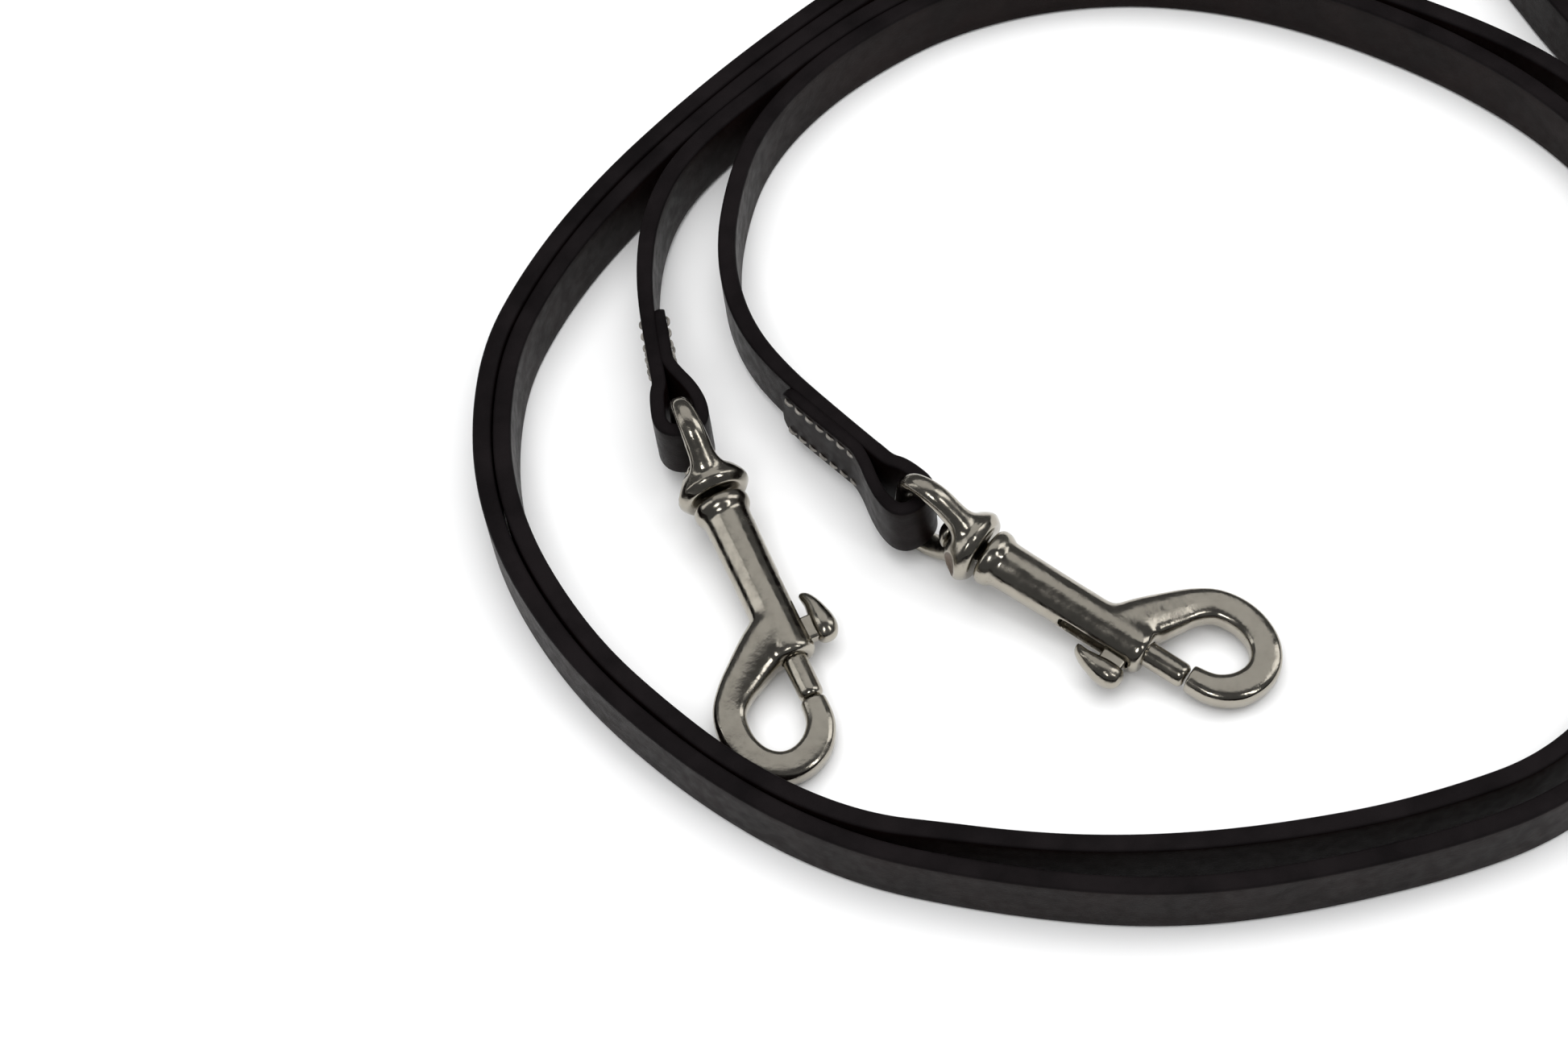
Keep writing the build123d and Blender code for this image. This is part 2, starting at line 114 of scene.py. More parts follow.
def spline_points(points, steps):
    """Points along the smooth curve that these control points draw."""
    curve = bpy.data.curves.new("route", "CURVE")
    curve.dimensions = "3D"
    spline = curve.splines.new("NURBS")
    spline.points.add(len(points) - 1)
    for place, point in zip(spline.points, points):
        place.co = (*point, 1.0)
    spline.order_u = SPLINE_ORDER
    spline.use_endpoint_u = True
    spline.resolution_u = steps
    route = bpy.data.objects.new("route", curve)
    drawn = bpy.data.meshes.new_from_object(route)
    line = []
    for vertex in drawn.vertices:
        if not line or (vertex.co - line[-1]).length > 1e-7:
            line.append(vertex.co.copy())
    bpy.data.objects.remove(route)
    bpy.data.curves.remove(curve)
    bpy.data.meshes.remove(drawn)
    return line


def strap_line(route):
    """The middle of the strap's section, from its sewn end to the fold, in metres."""
    heights = RISE + [0.0] * (len(route) - len(RISE))
    middle = STRAP_WIDTH / 2
    points = [
        ((x - COIL_X) * MM, (y - COIL_Y) * MM, (z + middle) * MM)
        for (x, y), z in zip(route, heights)
    ]
    return spline_points(points, ROUTE_STEPS)


# ---------------------------------------------------------------- mesh helpers
def new_object(name, mesh):
    piece = bpy.data.objects.new(name, mesh)
    scene.collection.objects.link(piece)
    return piece


def skin(rings, tones=None):
    """A closed mesh through rings of points, with a material number for each stretch of a ring."""
    size = len(rings[0])
    faces, slots = [], []
    for start in range(0, (len(rings) - 1) * size, size):
        for step in range(size):
            after = (step + 1) % size
            faces.append((start + step, start + after, start + size + after, start + size + step))
            slots.append(tones[step] if tones else 0)
    last = (len(rings) - 1) * size
    faces += [tuple(range(size)), tuple(range(last, last + size))]
    mesh = bpy.data.meshes.new("skin")
    mesh.from_pydata([tuple(p) for ring in rings for p in ring], [], faces)
    mesh.polygons.foreach_set("use_smooth", [True] * (len(faces) - 2) + [False] * 2)
    mesh.polygons.foreach_set("material_index", slots + [0, 0])
    outward(mesh)
    return mesh


def outward(mesh):
    """Turns the faces of a closed mesh outward, and keeps the rims of its flat ends sharp."""
    work = bmesh.new()
    work.from_mesh(mesh)
    bmesh.ops.recalc_face_normals(work, faces=work.faces)
    for face in work.faces:
        if not face.smooth:
            for edge in face.edges:
                edge.smooth = False
    work.to_mesh(mesh)
    work.free()


def joined(meshes):
    """One mesh of several."""
    work = bmesh.new()
    for mesh in meshes:
        work.from_mesh(mesh)
    whole = bpy.data.meshes.new("joined")
    work.to_mesh(whole)
    work.free()
    return whole


def between(stations, steps):
    """Stations added between the given ones, on a smooth curve through them all."""
    ends = [stations[0], *stations, stations[-1]]
    found = []
    for a, b, c, d in zip(ends, ends[1:], ends[2:], ends[3:]):
        a, b, c, d = (np.array(s, float) for s in (a, b, c, d))
        for t in np.linspace(0, 1, steps, endpoint=False):
            found.append(
                0.5 * (2 * b + (c - a) * t + (2 * a - 5 * b + 4 * c - d) * t**2
                       + (3 * b - a - 3 * c + d) * t**3)
            )
    return [*found, np.array(stations[-1], float)]


def rounded(half_a, half_b, squareness, count=28):
    """Points of an oval (squareness 2) or of a softly squared bar (4 and more)."""
    found = []
    for turn in np.linspace(0, 2 * math.pi, count, endpoint=False):
        c, s = math.cos(turn), math.sin(turn)
        found.append((
            half_a * math.copysign(abs(c) ** (2 / squareness), c),
            half_b * math.copysign(abs(s) ** (2 / squareness), s),
        ))
    return found


# ---------------------------------------------------------------- leather
EDGE_RADIUS = 0.6
EDGE_CROWN = 0.08
END_THICK = 2.5  # the strap is skived thinner towards its sewn ends
SKIVED_LENGTH = 45.0


def strap_outline(thick):
    """A strap's section, from the middle of one face round: (across, up, material number)."""
    t, h = thick / 2, STRAP_WIDTH / 2
    quarter = [(t, 0.0, 0), (t, h * 0.4, 0), (t - 0.02, h - 1.9, 0)]
    for turn in np.linspace(0, math.pi / 2, 6):
        across = t - EDGE_RADIUS + EDGE_RADIUS * math.cos(turn)
        up = h - EDGE_CROWN - EDGE_RADIUS + EDGE_RADIUS * math.sin(turn)
        quarter.append((across, up, 1 if turn > 0.2 else 0))
    quarter.append((t * 0.3, h - 0.02, 1))
    other = [(-x, z, tone) for x, z, tone in reversed(quarter[1:])]
    upper = quarter + other + [(-t, 0.0, 0)]
    lower = [(-x, -z, tone) for x, z, tone in upper[1:-1]]
    return upper + lower


def heading(line, number):
    """The line's direction at one of its points, as exact at its two ends as between them."""
    if number == 0:
        return 4 * line[1] - 3 * line[0] - line[2]
    if number == len(line) - 1:
        return 3 * line[-1] - 4 * line[-2] + line[-3]
    return line[number + 1] - line[number - 1]


def strap_rings(line, thick_at, half_at=None):
    """The strap's section at each point of a line, standing upright, all in metres."""
    rings = []
    travelled = 0.0
    for number, point in enumerate(line):
        if number:
            travelled += (point - line[number - 1]).length
        ahead = heading(line, number)
        side = Vector((-ahead.y, ahead.x, 0)).normalized()
        outline = strap_outline(thick_at(travelled / MM))
        shrink = half_at(travelled / MM) if half_at else 1.0
        rings.append([
            point + side * x * MM + Vector((0, 0, z * shrink * MM)) for x, z, _ in outline
        ])
    return rings


def line_length(line):
    return sum((b - a).length for a, b in zip(line, line[1:]))


def strap_thick_at(travelled):
    """The strap's thickness, by distance from its sewn end."""
    share = min(travelled / SKIVED_LENGTH, 1.0)
    return END_THICK + (STRAP_THICK - END_THICK) * share * share * (3 - 2 * share)


OUTLINE_TONES = [tone for _, _, tone in strap_outline(STRAP_THICK)]
straps = {}
strap_lines = {"a": strap_line(ROUTE_A), "b": strap_line(ROUTE_B)}
for end, line in strap_lines.items():
    strap = new_object(f"strap_{end}", skin(strap_rings(line, strap_thick_at), OUTLINE_TONES))
    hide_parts(f"rein_{end}")
    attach(strap, "leather")
    straps[end] = strap
    print(f"strap_{end}: {line_length(line):.4f} m along its middle")

# ---------------------------------------------------------------- frames of the two ends
joints = {joint["name"]: joint for joint in frame["joints"]}


def snap_matrix(end, lever_on_left):
    """Millimetres in the snap's own frame to metres: x to its hook, y to its thumb lug."""
    along = Vector(joints[f"swivel_{end}"]["axis"]).normalized()
    up = Vector(joints[f"eye_rock_{end}"]["axis"]).normalized()
    square = up if lever_on_left else -up
    turn = Matrix((along, square.cross(along), square)).transposed().to_4x4()
    return Matrix.Translation(joints[f"swivel_{end}"]["pos_m"]) @ turn @ Matrix.Scale(MM, 4)


SNAPS = {"a": snap_matrix("a", True), "b": snap_matrix("b", False)}

# ---------------------------------------------------------------- end loops and their stitching
LOOP_HEADINGS = {"a": -90.0, "b": -54.6}
TAIL_SIDES = {"a": 1, "b": -1}  # the tail lies to the left of A's strap and to the right of B's
SLACKS = {"a": 3.8, "b": 2.8}
LOOP_HALF_WIDTH = 3.7
LOOP_SIDE = 0.25
TAIL_LENGTHS = {"a": 27.5, "b": 34.0}
TAIL_CORNER = 2.6
TAIL_THICK = 2.2
TAIL_END_THICK = 1.7
TAIL_TIP = 5.0  # length over which the tail thins to its tip
PROUD_LENGTH = 4.0  # where the loop covers the strap's end it stands proud of it, by these
PROUD_THICK, PROUD_SHARE = 0.05, 0.004
SEWN_START, SEWN_EASE = 20.0, 6.0
LAPPED = 0.3  # the two layers are pressed together by this much
OVERLAP = 1.2  # of the loop over the strap's end, so that no joint shows
THREAD_RADIUS = 0.3
STITCH_PITCH = 2.6
STITCH_LENGTH = 2.3
STITCH_ROW = 4.5
STITCH_SLANT = 0.12
STITCHES = {"a": 5, "b": 8}  # in each row on each face


def along_strap(end, distance, offset):
    """A point beside the strap: a distance from its sewn end, an offset to the tail's side."""
    line = strap_lines[end]
    for a, b in zip(line, line[1:]):
        step = (b - a).length / MM
        if distance <= step:
            break
        distance -= step
    ahead = (b - a).normalized()
    side = Vector((ahead.y, -ahead.x, 0)).normalized() * TAIL_SIDES[end]
    return a + ahead * distance * MM + side * offset * MM, ahead, side


def loop_line(end):
    """The middle of the leather from the strap's end round the eye's bar to the tail's tip."""
    line, side = strap_lines[end], TAIL_SIDES[end]
    bar = Vector(joints[f"eye_rock_{end}"]["pos_m"])
    turn = math.radians(LOOP_HEADINGS[end])
    out = Vector((math.cos(turn), math.sin(turn), 0))
    left = Vector((-out.y, out.x, 0)) * side
    start = line[0]
    reach = (start - bar).dot(out) / MM
    tip = SLACKS[end] + LOOP_THICK / 2
    near, far = LOOP_SIDE - LOOP_HALF_WIDTH, LOOP_SIDE + LOOP_HALF_WIDTH
    stack = (END_THICK + TAIL_THICK) / 2 - LAPPED
    back = (line[1] - start).normalized() * MM
    points = [start + back * OVERLAP, start, start - back * 2.5]
    for x, y in [(-3.0, near), (tip, near), (tip, far), (-2.0, far)]:
        climb = RISE_SLOPE * (x - reach) * MM
        place = bar + out * x * MM + left * y * MM
        points.append(Vector((place.x, place.y, start.z + climb)))
    sewn = TAIL_LENGTHS[end] - tip + reach
    for share in (0.12, 0.3, 0.5, 0.7, 0.85, 1.0):
        grown = (strap_thick_at(sewn * share) - END_THICK) / 2
        points.append(along_strap(end, sewn * share, stack + grown)[0])
    return spline_points(points, LOOP_STEPS)


def make_end_loop(end):
    """The strap's end, folded back round the eye's bar, its tail rounded at the tip."""
    line = loop_line(end)
    length = line_length(line) / MM

    def thick_at(travelled):
        start = max(0.0, 1 - travelled / PROUD_LENGTH)
        sewn = min(max((travelled - SEWN_START) / SEWN_EASE, 0.0), 1.0)
        tip = max(0.0, 1 - (length - travelled) / TAIL_TIP)
        thick = LOOP_THICK + (TAIL_THICK - LOOP_THICK) * sewn
        return thick + (TAIL_END_THICK - TAIL_THICK) * tip + PROUD_THICK * start

    def half_at(travelled):
        left = max(length - travelled, 0.0)
        if left >= TAIL_CORNER:
            return 1.0 + PROUD_SHARE * max(0.0, 1 - travelled / PROUD_LENGTH)
        drop = TAIL_CORNER - math.sqrt(max(TAIL_CORNER**2 - (TAIL_CORNER - left) ** 2, 0.0))
        return 1 - drop / (STRAP_WIDTH / 2)

    rings = strap_rings(line, thick_at, half_at)
    loop = new_object(f"loop_leather_{end}", skin(rings, OUTLINE_TONES))
    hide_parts(f"end_loop_{end}")
    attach(loop, "leather")
    return loop


def make_stitch(middle, ahead, outside, slant):
    """One stitch: a short thread that rises out of its hole, crosses and goes down again."""
    up = Vector((0, 0, 1))
    lie = (ahead * math.cos(slant) + up * math.sin(slant)).normalized()
    wide = outside.cross(lie).normalized()
    rings = []
    for share in np.linspace(-1, 1, 11):
        place = middle + lie * share * STITCH_LENGTH / 2 * MM
        place += outside * (THREAD_RADIUS * 0.75 - 0.75 * abs(share) ** 3) * MM
        plump = THREAD_RADIUS * (1 - 0.3 * abs(share) ** 4)
        outline = rounded(plump, plump * 0.85, 2, 12)
        rings.append([place + wide * x * MM + outside * y * MM for x, y in outline])
    return skin(rings)


def make_stitching(end):
    """Both rows of stitches, on the tail's face and on the strap's."""
    stitches = []
    faces = (1, STITCH_SLANT), (-1, -STITCH_SLANT)
    for number in range(STITCHES[end]):
        distance = STITCH_PITCH * (number + 0.5)
        half = strap_thick_at(distance) / 2
        for row in (-STITCH_ROW, STITCH_ROW):
            for face, slant in faces:
                offset = half - LAPPED + TAIL_THICK if face > 0 else -half
                place, ahead, side = along_strap(end, distance, offset)
                middle = place + Vector((0, 0, row * MM))
                stitches.append(make_stitch(middle, ahead, side * face, slant))
    stitching = new_object(f"thread_{end}", joined(stitches))
    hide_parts(f"stitching_{end}")
    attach(stitching, "leather")
    return stitching


loops = [make_end_loop(end) for end in "ab"]
threads = [make_stitching(end) for end in "ab"]

# ---------------------------------------------------------------- castings of the snaps
VOXEL = 0.24
EYE_REACH = 16.2
CUP_RADIUS = 6.5
RIVET_RADIUS, POST_PLAY = 1.9, 0.06
COLLAR_RADIUS = 5.0
BARREL_RADIUS = 4.1
BORE_FLOOR, BORE_RADIUS = 5.4, 2.25
BOLT_REAR, BOLT_TIP, BOLT_RADIUS = 16.5, 39.9, 2.15
SLOT_START, SLOT_END, SLOT_HALF_WIDTH = 17.0, 30.8, 1.5
NECK_START, NECK_END, NECK_HALF_WIDTH = 26.0, 30.5, 1.3
HOOK_END = 40.2
HOLLOW_GAIN, PITTED_DEPTH = 2.2, 0.95


def turned(profile, count=56):
    """A shell turned about the snap's axis, from (along, radius) pairs."""
    rings = []
    for along, radius in profile:
        turns = np.linspace(0, 2 * math.pi, count, endpoint=False)
        rings.append([(along, radius * math.cos(a), radius * math.sin(a)) for a in turns])
    return skin(rings)


def bar(stations, flat, steps=8):
    """A bent bar of changing section.

    Stations are (along, aside, half width, half depth, squareness).
    flat is "y" if the bar bends in the snap's x-y plane and "z" if it bends in its x-z plane."""
    found = between(stations, steps)
    rings = []
    for number, (x, y, half_width, half_depth, squareness) in enumerate(found):
        before, after = found[max(number - 1, 0)], found[min(number + 1, len(found) - 1)]
        ahead = Vector((after[0] - before[0], after[1] - before[1])).normalized()
        side = Vector((-ahead.y, ahead.x))
        ring = []
        for a, b in rounded(half_width, half_depth, squareness):
            place = (x + side.x * a, y + side.y * a, b)
            ring.append(place if flat == "y" else (place[0], place[2], place[1]))
        rings.append(ring)
    return skin(rings)


def block(x0, x1, y0, y1, half_z, squareness=8):
    """A softly squared block from y0 to y1."""
    middle, half = (x0 + x1) / 2, (x1 - x0) / 2
    outline = rounded(half, half_z, squareness)
    return skin([[(middle + a, y, b) for a, b in outline] for y in np.linspace(y0, y1, 4)])


def dimple(middle, half_sizes):
    """An egg-shaped hollow to cut out."""
    work = bmesh.new()
    bmesh.ops.create_uvsphere(work, u_segments=40, v_segments=24, radius=1.0)
    bmesh.ops.scale(work, vec=half_sizes, verts=work.verts)
    bmesh.ops.translate(work, vec=middle, verts=work.verts)
    mesh = bpy.data.meshes.new("dimple")
    work.to_mesh(mesh)
    work.free()
    return mesh


def applied(piece):
    """The piece with its modifiers made real."""
    graph = bpy.context.evaluated_depsgraph_get()
    mesh = bpy.data.meshes.new_from_object(piece.evaluated_get(graph))
    piece.modifiers.clear()
    piece.data = mesh
    return mesh


def fused(piece, voxel, smoothing):
    """Joins the piece's shells into one skin, its corners rounded as a mould leaves them."""
    remesh = piece.modifiers.new("fuse", "REMESH")
    remesh.mode = "VOXEL"
    remesh.voxel_size = voxel
    remesh.use_smooth_shade = True
    smooth = piece.modifiers.new("smooth", "SMOOTH")
    smooth.factor = 0.5
    smooth.iterations = smoothing
    applied(piece)


def mark_hollows(mesh, pitted, spread=24):
    """Stores how hollow each point of the surface lies, from 0 on edges to 1 in a recess.

    pitted, a function of the points, adds hollows of its own, from 0 to 1."""
    count = len(mesh.vertices)
    places = np.zeros(count * 3)
    mesh.vertices.foreach_get("co", places)
    places = places.reshape(-1, 3)
    normals = np.zeros(count * 3)
    mesh.vertices.foreach_get("normal", normals)
    normals = normals.reshape(-1, 3)
    ends = np.zeros(len(mesh.edges) * 2, int)
    mesh.edges.foreach_get("vertices", ends)
    first, second = ends.reshape(-1, 2).T
    meeting = np.bincount(first, minlength=count) + np.bincount(second, minlength=count)
    soft = places.copy()
    for _ in range(spread):
        total = np.zeros_like(soft)
        np.add.at(total, first, soft[second])
        np.add.at(total, second, soft[first])
        soft = total / np.maximum(meeting, 1)[:, None]
    hollow = ((soft - places) * normals).sum(1)
    depth = np.clip(0.5 + hollow * HOLLOW_GAIN, 0, 1)
    if pitted:
        depth = np.maximum(depth, PITTED_DEPTH * pitted(places))
    layer = mesh.attributes.new("hollow", "FLOAT", "POINT")
    layer.data.foreach_set("value", depth.astype(np.float32))


def filleted(piece, blend, iterations):
    """Softens the piece where blend, a function of its points, is above nothing."""
    places = np.zeros(len(piece.data.vertices) * 3)
    piece.data.vertices.foreach_get("co", places)
    group = piece.vertex_groups.new(name="blend")
    for number, weight in enumerate(blend(places.reshape(-1, 3))):
        if weight > 0:
            group.add([number], float(weight), "REPLACE")
    smooth = piece.modifiers.new("fillet", "SMOOTH")
    smooth.factor = 0.5
    smooth.iterations = iterations
    smooth.vertex_group = "blend"
    applied(piece)
    piece.vertex_groups.clear()


def cast(
    name, shells, cuts=(), voxel=VOXEL, smoothing=4, blend=None, iterations=110, pitted=None
):
    """A casting in the snap's own frame, in millimetres, its holes cut after it is fused.

    blend and pitted are functions of its points: where to soften it, and where it is rough."""
    piece = new_object(name, joined(shells))
    fused(piece, voxel, smoothing)
    if blend:
        filleted(piece, blend, iterations)
    cutters = [new_object("cutter", cut) for cut in cuts]
    for cutter in cutters:
        hole = piece.modifiers.new("hole", "BOOLEAN")
        hole.operation = "DIFFERENCE"
        hole.solver = "EXACT"
        hole.object = cutter
    if cutters:
        applied(piece)
        fused(piece, voxel, 3)
    for cutter in cutters:
        bpy.data.objects.remove(cutter)
    mark_hollows(piece.data, pitted)
    mesh = piece.data
    bpy.data.objects.remove(piece)
    return mesh


def mirrored(stations):
    """Stations and their mirror images on the other side of the axis."""
    return stations + [(x, -y, *section) for x, y, *section in reversed(stations[:-1])]


def eye_casting():
    """The D-shaped eye: a round far bar, limbs that broaden into shoulders, and the cup."""
    limb = [
        (-1.9, 1.5, 2.2, 5.2, 2.0), (-2.8, 3.1, 2.4, 4.8, 2.0), (-4.0, 4.3, 2.2, 3.6, 2.0),
        (-5.4, 5.5, 1.9, 2.6, 2.0), (-7.4, 7.0, 1.75, 2.25, 2.0), (-10.0, 8.6, 1.7, 2.1, 2.1),
        (-12.6, 9.1, 1.65, 1.95, 2.2), (-14.8, 8.5, 1.65, 1.75, 2.3), (-16.0, 6.4, 1.7, 1.7, 2.3),
        (-EYE_REACH, 3.2, 1.7, 1.7, 2.3), (-EYE_REACH, 0.0, 1.7, 1.7, 2.3),
    ]
    cup = [
        (-6.3, 0.0), (-6.3, 2.6), (-5.9, 3.7), (-5.1, 4.8), (-4.1, 5.65), (-3.1, 6.2), (-2.4, 6.45),
        (-1.9, CUP_RADIUS), (-1.6, 6.4), (-0.9, 5.9), (-0.4, 5.45), (-0.3, 5.1), (-0.3, 0.0),
    ]
    recess, recess_half = (-4.3, 6.6, 0.0), (2.0, 2.5, 3.7)
    x, y, z = recess
    dimples = [dimple((x, side * y, z), recess_half) for side in (-1, 1)]

    def blend(places):
        """Full where the limbs run into the cup's shoulders, none at its rim and on the limbs."""
        rising = np.clip((places[:, 0] + 8.0) / 2.0, 0, 1)
        return rising * np.clip((-2.3 - places[:, 0]) / 1.2, 0, 1)

    def pitted(places):
        """One inside the two recesses, which the polishing wheel never reached."""
        aside = np.stack([places[:, 0], abs(places[:, 1]), places[:, 2]], axis=1)
        reach = np.linalg.norm((aside - np.array(recess)) / np.array(recess_half), axis=1)
        return np.clip((1.12 - reach) / 0.1, 0, 1)

    hole_radius = RIVET_RADIUS + POST_PLAY
    post_hole = [(-7.0, 0.0), (-7.0, hole_radius), (0.0, hole_radius), (0.0, 0.0)]
    shells, cuts = [bar(mirrored(limb), "z"), turned(cup)], [turned(post_hole), *dimples]
    return cast("eye", shells, cuts, blend=blend, iterations=60, pitted=pitted)


def snap_casting():
    """Collar, slotted barrel and hook."""
    barrel = [
        (0.4, 0.0), (0.4, 4.2), (0.65, 4.65), (1.2, COLLAR_RADIUS), (2.1, COLLAR_RADIUS),
        (2.8, 4.8), (3.3, 4.45), (3.7, 4.2), (4.4, 4.15), (7.0, BARREL_RADIUS),
        (16.0, 4.0), (26.0, BARREL_RADIUS), (31.2, 4.2), (31.9, 4.0), (32.4, 3.4), (32.4, 0.0),
    ]
    hook = [
        (22.8, 1.0, 2.6, 3.7, 2.2), (25.6, -0.9, 3.9, 3.8, 2.4), (28.5, -4.2, 4.25, 3.5, 2.8),
        (31.4, -8.2, 3.75, 2.95, 3.2), (33.9, -11.5, 3.2, 2.55, 3.6), (37.3, -14.0, 2.85, 2.35, 3.8),
        (42.2, -14.5, 2.75, 2.3, 3.8), (46.5, -13.0, 2.7, 2.3, 3.8),
        (49.1, -10.1, 2.75, 2.3, 3.8),
        (49.6, -6.6, 2.75, 2.3, 3.8), (48.0, -3.0, 2.75, 2.3, 3.6), (44.6, -0.7, 2.5, 2.25, 3.2),
        (HOOK_END, -0.2, 2.2, 2.2, 2.8),
    ]
    bore = [(BORE_FLOOR, 0.0), (BORE_FLOOR, BORE_RADIUS), (36.0, BORE_RADIUS), (36.0, 0.0)]
    post = [(0.0, 0.0), (0.0, RIVET_RADIUS), (6.0, RIVET_RADIUS), (6.0, 0.0)]
    slot = block(SLOT_START, SLOT_END, 0.0, 7.0, SLOT_HALF_WIDTH)

    def blend(places):
        """Full where the hook leaves the barrel, none at the collar and round the hook."""
        rising = np.clip((places[:, 0] - 19.0) / 4.0, 0, 1)
        falling = np.clip((40.0 - places[:, 0]) / 9.0, 0, 1)
        return rising * falling * np.clip((1.5 - places[:, 1]) / 3.0, 0, 1)

    shells, cuts = [turned(barrel), bar(hook, "y")], [turned(bore), turned(post), slot]
    return cast("snap", shells, cuts, blend=blend)


def bolt_casting():
    """The round plunger and the flat neck that stands out of the slot."""
    plunger = [
        (BOLT_REAR, 0.0), (BOLT_REAR, 1.8), (BOLT_REAR + 0.4, BOLT_RADIUS), (38.9, BOLT_RADIUS),
        (39.5, 2.0), (BOLT_TIP, 1.5), (BOLT_TIP, 0.0),
    ]
    neck = block(NECK_START, NECK_END, 0.0, 6.0, NECK_HALF_WIDTH)
    return cast("bolt", [turned(plunger), neck], voxel=0.2, smoothing=3)


def lug_casting():
    """The thumb lug: a boat with a sharp stem towards the eye, hollow under its stem."""
    stations = [  # along, underside, top, half width
        (21.9, 5.2, 6.3, 0.8), (22.6, 5.2, 7.1, 1.4), (24.0, 5.4, 7.9, 1.95),
        (25.8, 5.2, 8.6, 2.25), (27.6, 4.95, 9.1, 2.5), (29.3, 4.95, 9.2, 2.45), (30.5, 5.1, 8.8, 2.0),
        (31.2, 5.6, 8.2, 1.4), (31.5, 6.3, 7.5, 0.6),
    ]
    rings = []
    for x, low, high, half_width in between(stations, 5):
        outline = rounded((high - low) / 2, half_width, 2.2, 32)
        rings.append([(x, (low + high) / 2 + a, b) for a, b in outline])
    return cast("lug", [skin(rings)], voxel=0.2, smoothing=3)


def rivet_turning():
    """The post, with a hammered round head behind the cup."""
    head = [(-8.66, 0.02), (-8.6, 0.6), (-8.4, 1.25), (-8.05, 1.9), (-7.55, 2.45), (-7.0, 2.8),
            (-6.65, 2.9), (-6.56, 2.8)]
    post = [(-6.56, RIVET_RADIUS), (BORE_FLOOR, RIVET_RADIUS), (BORE_FLOOR, 0.02)]
    return turned(head + post)


SPRING_RADIUS, SPRING_WIRE, SPRING_TURNS = 1.75, 0.25, 5
SPRING_START, SPRING_STOP = BORE_FLOOR + 0.5, BOLT_REAR - 0.5


def spring_wire():
    """An evenly wound open coil."""
    section = rounded(SPRING_WIRE, SPRING_WIRE, 2, 10)
    rings = []
    for share in np.linspace(0, 1, SPRING_TURNS * 32 + 1):
        turn = share * SPRING_TURNS * 2 * math.pi
        x = SPRING_START + (SPRING_STOP - SPRING_START) * share
        out = Vector((0, math.cos(turn), math.sin(turn)))
        rings.append([Vector((x + a, 0, 0)) + out * (SPRING_RADIUS + b) for a, b in section])
    return skin(rings)


